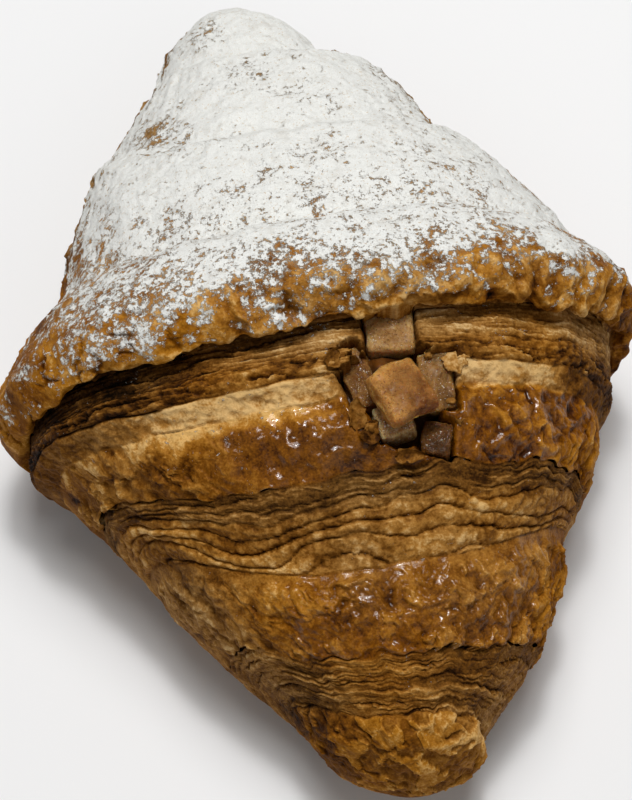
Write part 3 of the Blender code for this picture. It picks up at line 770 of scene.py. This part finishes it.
def make_compote():
    """The apple compote, heaped under the mouth."""
    rows, columns = 170, 130
    turns = np.pi * (np.arange(rows) + 0.5) / rows
    turns = turns + 0.22 * np.sin(2 * (turns - 1.13))
    y = -CORE_REACH * np.cos(turns)[:, None]
    angles = 2 * np.pi * np.arange(columns) / columns
    swell = np.sin(turns)[:, None] ** 0.7
    x = CORE_X + CORE_HALF_WIDTH * swell * np.cos(angles)
    heap = np.exp(-((x - MOUTH_X) ** 2 + (y - MOUTH_Y) ** 2) / HEAP_RADIUS**2)
    upward = np.maximum(np.sin(angles), 0)
    z = CORE_Z + CORE_HALF_HEIGHT * swell * np.sin(angles) + HEAP_HEIGHT * heap * upward
    from_plug = np.hypot((x - MOUTH_X) / PLUG_HALF_WIDTH, (y - MOUTH_Y + 2) / PLUG_HALF_LENGTH)
    plug = np.exp(-(from_plug**6))
    z = z + PLUG_HEIGHT * plug * upward
    points = np.stack((x, y + 0 * x, z), axis=-1)
    nearest, _, name = cells(points * (1, 1, 0.5), 3.6, 81)
    chunk = np.sqrt(np.clip(1 - nearest**2, 0, 1)) * (0.5 + name)
    lump = 1.6 + 2.2 * chunk + 0.7 * wave(points, 1.6, 82) + 0.3 * wave(points, 0.7, 84)
    points += normals_of(points) * (lump * np.sqrt(heap) * (np.sin(angles) > 0))[..., None]
    for die in DICE:
        beside = seen_from(die, points)[1]
        points[..., 2] = np.minimum(points[..., 2], mix(die.centre[2] - 0.5, 99, ramp(beside, 0.2, 1.2)))
    looks = np.zeros((rows, columns, 1))
    looks[..., 0] = 0.35 + 0.2 * wave(points, 2.0, 83)
    return tube_piece("apple_compote", points, looks, normals_of(points))


def unpacked(mesh):
    """The points and faces of a working mesh, which is then let go."""
    points = np.array([vert.co for vert in mesh.verts])
    faces = np.array([[vert.index for vert in face.verts] for face in mesh.faces])
    mesh.free()
    return points, faces


def make_die(serial, die):
    """A diced apple piece: a cut block with softened edges, cooked a little out of true."""
    mesh = bmesh.new()
    bmesh.ops.create_cube(mesh, size=2.0)
    bmesh.ops.subdivide_edges(mesh, edges=mesh.edges[:], cuts=DIE_CUTS, use_grid_fill=True)
    points, quads = unpacked(mesh)
    half = np.array(die.half)
    true = points * half
    uneven = DIE_ROUND[serial] * (1 + 0.5 * wave(true, 2.2, 200 + serial))[:, None]
    core = np.clip(true, uneven - half, half - uneven)
    out = true - core
    out /= np.linalg.norm(out, axis=1, keepdims=True) + 1e-9
    true = core + out * uneven
    skew = [[noise.noise(Vector(p) / 5 + Vector((serial * 9, axis * 17, 3))) for axis in range(3)]
            for p in true]
    grain = 0.34 * wave(true, 3.0, 90 + serial) + 0.12 * wave(true, 1.2, 95) + 0.06 * wave(true, 0.55, 98)
    middling = 1 - (core / (half - uneven)) ** 2 * (1 - np.abs(out))
    bulge = 0.35 * np.prod(middling, axis=1)
    true = true + DIE_SKEW * np.array(skew) + out * (grain + bulge)[:, None]
    points = np.array(die.centre) + true @ turned(die).T
    corner = 1 - np.abs(out).max(axis=1)
    looks = np.zeros((len(points), 1))
    local = seen_from(die, points)[0] / die.half
    # Painted shade: each die is darker towards its front right.
    slope = (np.clip((local[:, 0] - local[:, 1]) / 2, -1, 1) + 1) / 2  # darker towards the front right
    tone = 0.63 - 0.52 * slope + 0.32 * wave(points, 3.2, 97) + 0.15 * wave(points, 1.0, 99)
    looks[:, 0] = tone + 0.6 * corner
    return mesh_from(f"apple_die_{serial + 1}", points, quads, (), looks)


# Torn flakes round the mouth: middle, half length and half width, turn about X, Y and Z, curl and lightness.
Flake = namedtuple("Flake", "middle length width turn curl tone")
FLAKES = (
    Flake((0.7, -24.3, 57.3), 2.5, 1.2, (8, -26, 84), 0.5, 0.56),
    Flake((2.2, -27.4, 56.6), 1.9, 1.2, (20, -16, 52), 0.5, 0.38),
    Flake((17.3, -18.2, 57.9), 2.6, 1.7, (6, 12, 27), -0.35, 0.74),
    Flake((15.4, -27.6, 56.4), 1.7, 0.7, (8, 38, 78), 0.9, 0.60),
    Flake((-1.2, -14.9, 57.9), 1.4, 1.1, (14, -18, 60), 0.5, 0.48),
    Flake((7.4, -31.4, 55.2), 2.1, 1.0, (26, 6, -4), 0.6, 0.46),
)
# Torn crumbs: X, Y, Z and size.
CRUMBS = (
    (12.7, -13.6, 54.9, 1.15), (13.2, -14.9, 53.6, 0.7), (2.6, -25.6, 54.9, 1.0), (15.2, -22.8, 53.4, 0.7),
)
FLAKE_THICKNESS = 0.24
SEAT_SHARE = 85  # a scrap lies on this percentile of the heights under it
SEAT_BOTTOM = 38  # nothing below this height carries one
SIGHT_X, SIGHT_Y = 0.085, 0.480  # how far the line of sight runs along X and Y for each millimetre down


def flake_shell(flake, seed):
    """Points and faces of a thin, bent and crumpled flake with a ragged edge and one narrower end."""
    rows, columns = 30, 18
    along = np.linspace(-1, 1, rows)[:, None]
    across = np.linspace(-1, 1, columns)[None, :]
    breadth = np.clip(1.02 - np.abs(along) ** 2.4, 0.02, 1) ** 0.6 * (1 - 0.35 * along)
    x = flake.length * along + 0 * across
    y = flake.width * breadth * across
    flat = np.stack((x, y, 0 * x + seed * 7.0), axis=-1)
    edge = np.maximum(np.abs(along), np.abs(across)) ** 4
    x = x + edge * (0.45 * wave(flat, 1.3, 211) + 0.2 * wave(flat, 0.5, 212))
    y = y + edge * (0.45 * wave(flat, 1.1, 213) + 0.2 * wave(flat, 0.5, 214))
    z = flake.curl * (across**2 + 0.4 * along**2) + 0.35 * wave(flat, 1.6, 210) + 0.12 * wave(flat, 0.6, 215)
    thick = FLAKE_THICKNESS / 2 * np.sqrt(np.clip(1.1 - edge, 0, 1))
    top, bottom = np.stack((x, y, z + thick), axis=-1), np.stack((x, y, z - thick), axis=-1)
    index = np.arange(rows * columns).reshape(rows, columns)
    quads = np.stack((index[:-1, :-1], index[1:, :-1], index[1:, 1:], index[:-1, 1:]), axis=-1).reshape(-1, 4)
    below = rows * columns
    border = np.concatenate((index[0, :-1], index[:-1, -1], index[-1, :0:-1], index[:0:-1, 0]))
    after = np.roll(border, -1)
    wall = np.stack((border, after, after + below, border + below), axis=-1)
    points = np.concatenate((top.reshape(-1, 3), bottom.reshape(-1, 3))) @ turned(flake).T + flake.middle
    return points, np.concatenate((quads, quads[:, ::-1] + below, wall)), np.zeros((0, 3), int)


def crumb_shell(place, seed):
    """Points and faces of a small torn crumb."""
    mesh = bmesh.new()
    bmesh.ops.create_icosphere(mesh, subdivisions=3, radius=1.0)
    points, triangles = unpacked(mesh)
    lumpy = 1 + 0.35 * wave(points + seed * 2.0, 0.9, 220) + 0.2 * wave(points + seed, 0.4, 221)
    points = points * (1.0, 0.8, 0.7) * place[3] * lumpy[:, None]
    return points + place[:3], np.zeros((0, 4), int), triangles


def points_of(things):
    """The points of finished pieces, in millimetres before the shift."""
    found = []
    for thing in things:
        flat = np.zeros(3 * len(thing.data.vertices), np.float32)
        thing.data.vertices.foreach_get("co", flat)
        found.append(flat.reshape(-1, 3) / MM - SHIFT)
    return np.concatenate(found)


def seated(place, carriers, reach, rise):
    """Slide a place along the line of sight of the photo until it lies on what carries it."""
    for _ in range(5):
        beside = np.hypot(carriers[:, 0] - place[0], carriers[:, 1] - place[1]) < reach
        drop = place[2] - np.percentile(carriers[beside, 2], SEAT_SHARE) - rise
        place = (place[0] + SIGHT_X * drop, place[1] + SIGHT_Y * drop, place[2] - drop)
    return place


def make_scraps(carriers):
    """The torn flakes and crumbs round the mouth, as one mesh of small closed shells."""
    carriers = carriers[carriers[:, 2] > SEAT_BOTTOM]
    shells = []
    for seed, flake in enumerate(FLAKES):
        lain = flake._replace(middle=seated(flake.middle, carriers, 1.3, 0.15))
        shells.append((*flake_shell(lain, seed), flake.tone))
    for seed, crumb in enumerate(CRUMBS):
        lain = (*seated(crumb[:3], carriers, 0.8 * crumb[3], 0.35 * crumb[3]), crumb[3])
        shells.append((*crumb_shell(lain, seed), 0.6))
    points, quads, triangles, tones, count = [], [], [], [], 0
    for shell_points, shell_quads, shell_triangles, tone in shells:
        tones.append(np.full(len(shell_points), tone))
        points.append(shell_points)
        quads.append(shell_quads + count)
        triangles.append(shell_triangles + count)
        count += len(shell_points)
    points = np.concatenate(points)
    looks = np.zeros((count, len(LOOKS)))
    looks[:, 0] = np.concatenate(tones) + 0.18 * wave(points, 1.1, 222) + 0.10 * wave(points, 0.5, 223)
    looks[:, 1:4] = 0.45, 0.45, 0.12
    return mesh_from("crust_flakes", points, np.concatenate(quads), np.concatenate(triangles), looks,
                     strand=points)


# ---- materials
class Wire:
    """An output of a node. Arithmetic with it adds math nodes."""

    def __init__(self, shader, socket):
        self.shader, self.socket = shader, socket

    def __add__(self, other):
        return self.shader.math("ADD", self, other)

    def __radd__(self, other):
        return self.shader.math("ADD", other, self)

    def __sub__(self, other):
        return self.shader.math("SUBTRACT", self, other)

    def __rsub__(self, other):
        return self.shader.math("SUBTRACT", other, self)

    def __mul__(self, other):
        return self.shader.math("MULTIPLY", self, other)

    def clamped(self):
        """The same, kept from 0 to 1."""
        self.socket.node.use_clamp = True
        return self


class Shader:
    """A new material and short ways to wire its nodes."""

    def __init__(self, name):
        self.material = bpy.data.materials.new(name)
        self.material.use_nodes = True
        self.tree = self.material.node_tree
        self.body = self.tree.nodes["Principled BSDF"]

    def link(self, source, target):
        """Wire an output, or set a plain value."""
        if isinstance(source, Wire):
            self.tree.links.new(source.socket, target)
        else:
            target.default_value = source

    def fill(self, node, inputs):
        """Wire or set inputs of a node by name."""
        for key, value in inputs.items():
            self.link(value, node.inputs[key.replace("_", " ")])

    def set(self, **inputs):
        """Inputs of the shader itself."""
        self.fill(self.body, inputs)

    def node(self, kind, output=0, **inputs):
        """An output of a new node with these inputs."""
        made = self.tree.nodes.new(kind)
        self.fill(made, inputs)
        return Wire(self, made.outputs[output])

    def math(self, operation, first, second):
        """Arithmetic on two numbers."""
        made = self.tree.nodes.new("ShaderNodeMath")
        made.operation = operation
        self.link(first, made.inputs[0])
        self.link(second, made.inputs[1])
        return Wire(self, made.outputs[0])

    def attribute(self, name, output="Fac"):
        """A number or a vector stored on the mesh."""
        made = self.tree.nodes.new("ShaderNodeAttribute")
        made.attribute_name = name
        return Wire(self, made.outputs[output])

    def noise(self, place, scale, detail, roughness):
        """Noise from 0 to 1."""
        return self.node("ShaderNodeTexNoise", "Fac", Vector=place, Scale=scale, Detail=detail,
                         Roughness=roughness)

    def grain(self, size, detail=3.0, roughness=0.55, stretch=None):
        """Noise from 0 to 1 whose bumps are about this size in millimetres."""
        place = self.node("ShaderNodeTexCoord", "Object")
        if stretch:
            place = self.node("ShaderNodeMapping", Vector=place, Scale=stretch)
        return self.noise(place, 1 / (size * MM), detail, roughness)

    def ramp(self, value, stops):
        """Colours along 0 to 1, each a position with its red, green and blue in display values."""
        made = self.tree.nodes.new("ShaderNodeValToRGB")
        elements = made.color_ramp.elements
        while len(elements) < len(stops):
            elements.new(0.5)
        for element, (position, *colour) in zip(elements, stops):
            element.position = position
            element.color = linear(*colour)
        self.link(value, made.inputs[0])
        return Wire(self, made.outputs[0])

    def smooth(self, value, low, high):
        """0 below low and 1 above high."""
        made = self.tree.nodes.new("ShaderNodeMapRange")
        made.interpolation_type = "SMOOTHSTEP"
        self.fill(made, {"Value": value, "From Min": low, "From Max": high})
        return Wire(self, made.outputs[0])

    def blend(self, share, first, second):
        """Mix two colours."""
        made = self.tree.nodes.new("ShaderNodeMix")
        made.data_type = "RGBA"
        for index, source in ((0, share), (6, first), (7, second)):
            self.link(source, made.inputs[index])
        return Wire(self, made.outputs[2])

    def bump(self, height, distance, strength, **below):
        """A bumped normal, on top of another Normal where one is given."""
        return self.node("ShaderNodeBump", Height=height, Distance=distance * MM, Strength=strength, **below)


def linear(*colour):
    """A colour with its red, green and blue given in display values from 0 to 255."""
    values = [c / 255 for c in colour]
    return (*(c / 12.92 if c <= 0.04045 else ((c + 0.055) / 1.055) ** 2.4 for c in values), 1)


def crust_material():
    """Browned, glazed and sugar-dusted pastry."""
    s = Shader("baked_crust")
    cut = s.attribute("cut")
    place = s.node("ShaderNodeMapping", Vector=s.attribute("strand", "Vector"), Scale=(0.22, 3.4, 1.0))
    threads = s.noise(place, 1.0, 3.0, 0.6) - 0.5
    mottle, speck, patch = s.grain(1.3, 4, 0.6), s.grain(0.35, 2, 0.6), s.grain(5.0, 3, 0.6)
    value = s.attribute("tone") + (mottle - 0.5) * 0.55 + (speck - 0.5) * 0.45 + (patch - 0.5) * 0.30
    value = (value + threads * cut * 0.2).clamped()
    amber = s.ramp(value, (
        (0.0, 13, 4, 0), (0.25, 63, 28, 0), (0.5, 123, 71, 5), (0.75, 171, 113, 30), (1.0, 218, 171, 98)))
    greyer = s.ramp(value, (
        (0.0, 15, 8, 2), (0.25, 60, 37, 12), (0.5, 108, 74, 32), (0.75, 158, 120, 70), (1.0, 208, 178, 130)))
    crust = s.blend(s.attribute("warmth"), greyer, amber)

    sugar = s.attribute("sugar")
    clump, dust = s.grain(0.85, 6, 0.7), s.grain(0.2, 3, 0.7)
    amount = sugar + (clump - 0.5) * 1.7 + (dust - 0.5) * 0.6
    present = s.smooth(sugar, 0.02, 0.12)
    white = s.smooth(amount, 0.46, 0.60) * present
    haze = s.smooth(amount, 0.10, 0.55) * (s.smooth(sugar, 0.35, 0.85) * 0.7)
    crust = s.blend(haze, crust, linear(226, 204, 166))
    flecked = s.smooth(s.grain(0.5, 3, 0.65), 0.585, 0.70) * 0.7
    covered = white * (1.0 - flecked)
    shade = s.ramp(dust, ((0.25, 226, 226, 220), (0.75, 253, 253, 249)))
    shade = s.blend(s.smooth(sugar, 0.2, 0.6), linear(255, 249, 238), shade)
    cloud = s.smooth(s.grain(2.4, 5, 0.68), 0.50, 0.68) * 0.36
    s.set(Base_Color=s.blend(covered, crust, s.blend(cloud, shade, linear(206, 200, 188))))

    patchy = (s.attribute("glaze") + (patch - 0.5) * 0.6).clamped()
    s.set(Roughness=(0.66 - patchy * 0.34 + covered * 0.5).clamped())
    s.set(Coat_Weight=s.smooth(patchy, 0.64, 1.0) * (1.0 - covered) * 0.5)
    s.set(Coat_Roughness=0.04, IOR=1.45, Specular_IOR_Level=0.04)
    s.set(Coat_Normal=s.bump(s.grain(1.0, 2, 0.5), 0.14, 0.7))
    rise = s.bump(mottle + speck * 0.4 + threads * cut * 0.3, 0.30, 0.85)
    s.set(Normal=s.bump(white * 0.8 + dust * (white * 0.9), 0.26, 0.9, Normal=rise))
    return s.material


def compote_material():
    """Dark cooked apple with cinnamon and syrup."""
    s = Shader("cinnamon_compote")
    lump, speck = s.grain(1.8, 4, 0.6), s.grain(0.3, 2, 0.6)
    value = (s.attribute("tone") + (lump - 0.5) * 0.7).clamped()
    colour = s.ramp(value, ((0.0, 36, 17, 3), (0.5, 102, 58, 16), (1.0, 164, 112, 52)))
    s.set(Base_Color=s.blend(s.smooth(speck, 0.6, 0.7) * 0.6, colour, linear(52, 28, 12)))
    s.set(Roughness=0.5 - lump * 0.25, Coat_Weight=0.5, Coat_Roughness=0.12, IOR=1.42)
    s.set(Normal=s.bump(lump, 0.4, 0.6))
    return s.material


def apple_material(serial, pale, dark, dusting, sandy):
    """Cooked apple with a syrupy gloss, cinnamon specks and a little sugar."""
    s = Shader(f"cooked_apple_{serial + 1}")
    flesh, fibre, speck = s.grain(2.6, 4, 0.6), s.grain(0.5, 3, 0.6, (1, 1, 0.35)), s.grain(0.33, 2, 0.6)
    value = (s.attribute("tone") + (flesh - 0.5) * 0.7 + (fibre - 0.5) * sandy).clamped()
    between = mix(np.array(dark), np.array(pale), 0.62)
    colour = s.ramp(value, ((0.0, *dark), (0.55, *between), (1.0, *pale)))
    colour = s.blend(s.smooth(speck, 0.58, 0.66) * 0.7, colour, linear(100, 56, 18))
    sprinkle = s.grain(0.26, 3, 0.7) + s.grain(2.2, 2) * 0.30
    grains = s.smooth(sprinkle, 0.84 - 0.08 * dusting, 0.90 - 0.08 * dusting)
    s.set(Base_Color=s.blend(grains * 0.9, colour, linear(236, 230, 214)), Roughness=0.30 + flesh * 0.2)
    s.set(Subsurface_Weight=0.8, Subsurface_Radius=(1.0, 0.55, 0.25), Subsurface_Scale=0.004)
    s.set(Coat_Weight=0.06, Coat_Roughness=0.2, IOR=1.4, Specular_IOR_Level=0.2)
    wet = s.grain(0.38, 3, 0.7)
    s.set(Normal=s.bump(fibre * 0.8 + wet, 0.3, 0.9))
    return s.material


def floor_material():
    """Plain pale ground."""
    s = Shader("pale_ground")
    s.set(Base_Color=(0.86, 0.86, 0.86, 1), Roughness=0.9)
    return s.material


# ---- the scene
crust_look = crust_material()
carriers = make_crust()
for piece in carriers:
    piece.data.materials.append(crust_look)
    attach(piece, "root")
    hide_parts("croissant")

compote = make_compote()
compote.data.materials.append(compote_material())
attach(compote, "root")
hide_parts("apple_filling")

# The pale and the dark colour of each die, how sugared it is and how sandy.
APPLE_LOOKS = (
    ((206, 166, 112), (142, 98, 44), 0.5, 1.1), ((200, 150, 82), (104, 56, 10), 0.15, 0.6),
    ((178, 130, 68), (84, 46, 10), 0.9, 1.0), ((178, 134, 74), (100, 64, 22), 0.6, 1.0),
    # Painted light: the fifth die's colours are lighter, to make up for the shadow the second die casts on
    # it.
    ((236, 198, 144), (142, 100, 52), 1.1, 1.0), ((108, 68, 22), (52, 26, 3), 0.45, 1.0),
)
for serial, (die, look) in enumerate(zip(DICE, APPLE_LOOKS)):
    piece = make_die(serial, die)
    piece.data.materials.append(apple_material(serial, *look))
    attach(piece, "root")
    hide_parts(f"apple_dice_{serial + 1}")
    carriers.append(piece)

scraps = make_scraps(points_of(carriers))
scraps.data.materials.append(crust_look)
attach(scraps, "root")

FLOOR_REACH, FLOOR_DROP = 2.0, 0.0002  # just under the pastry's flat foot
floor_mesh = bpy.data.meshes.new("ground")
corners = [(FLOOR_REACH * x, FLOOR_REACH * y, 0) for x, y in ((-1, -1), (1, -1), (1, 1), (-1, 1))]
floor_mesh.from_pydata(corners, [], [(0, 1, 2, 3)])
floor = bpy.data.objects.new("ground", floor_mesh)
bpy.context.scene.collection.objects.link(floor)
floor.data.materials.append(floor_material())
floor.location.z = -FLOOR_DROP

SKY_STRENGTH = 0.17
world = bpy.data.worlds.new("studio")
bpy.context.scene.world = world
world.use_nodes = True
sky = world.node_tree.nodes["Background"]
sky.inputs["Color"].default_value = (1, 1, 1, 1)
sky.inputs["Strength"].default_value = SKY_STRENGTH
LIGHT_AIM = Vector((0, 0, 0.03))


def soft_light(name, place, size, power):
    """A square soft light that faces the pastry."""
    data = bpy.data.lights.new(name, "AREA")
    data.size = size
    data.energy = power
    thing = bpy.data.objects.new(name, data)
    thing.location = place
    thing.rotation_euler = (LIGHT_AIM - Vector(place)).to_track_quat("-Z", "Y").to_euler()
    bpy.context.scene.collection.objects.link(thing)


soft_light("overhead_light", (0.03, 0.16, 0.88), size=0.40, power=5.0)
soft_light("overhead_core", (0.03, 0.16, 0.87), size=0.10, power=2.0)
soft_light("front_fill", (0.25, -0.8, 0.6), size=0.9, power=1.0)

CAMERA_AZIMUTH, CAMERA_ELEVATION = math.radians(-10), math.radians(64)
CAMERA_DISTANCE = 0.380
CAMERA_TARGET = Vector((-0.00224, -0.00955, 0.028))
FOCAL_PIXELS, PHOTO_HEIGHT = 2383, 800
SENSOR_WIDTH = 36
NEAR_CLIP, FAR_CLIP = 0.01, 20
camera_data = bpy.data.cameras.new("camera")
camera = bpy.data.objects.new("camera", camera_data)
bpy.context.scene.collection.objects.link(camera)
bpy.context.scene.camera = camera
camera_data.sensor_width = SENSOR_WIDTH
camera_data.lens = SENSOR_WIDTH * FOCAL_PIXELS / PHOTO_HEIGHT
camera_data.clip_start, camera_data.clip_end = NEAR_CLIP, FAR_CLIP
back = Vector((math.sin(CAMERA_AZIMUTH) * math.cos(CAMERA_ELEVATION),
               -math.cos(CAMERA_AZIMUTH) * math.cos(CAMERA_ELEVATION), math.sin(CAMERA_ELEVATION)))
side = Vector((math.cos(CAMERA_AZIMUTH), math.sin(CAMERA_AZIMUTH), 0))
camera.matrix_world = Matrix((side, back.cross(side), back)).transposed().to_4x4()
camera.location = CAMERA_TARGET + back * CAMERA_DISTANCE

bpy.context.scene.view_settings.view_transform = "Standard"
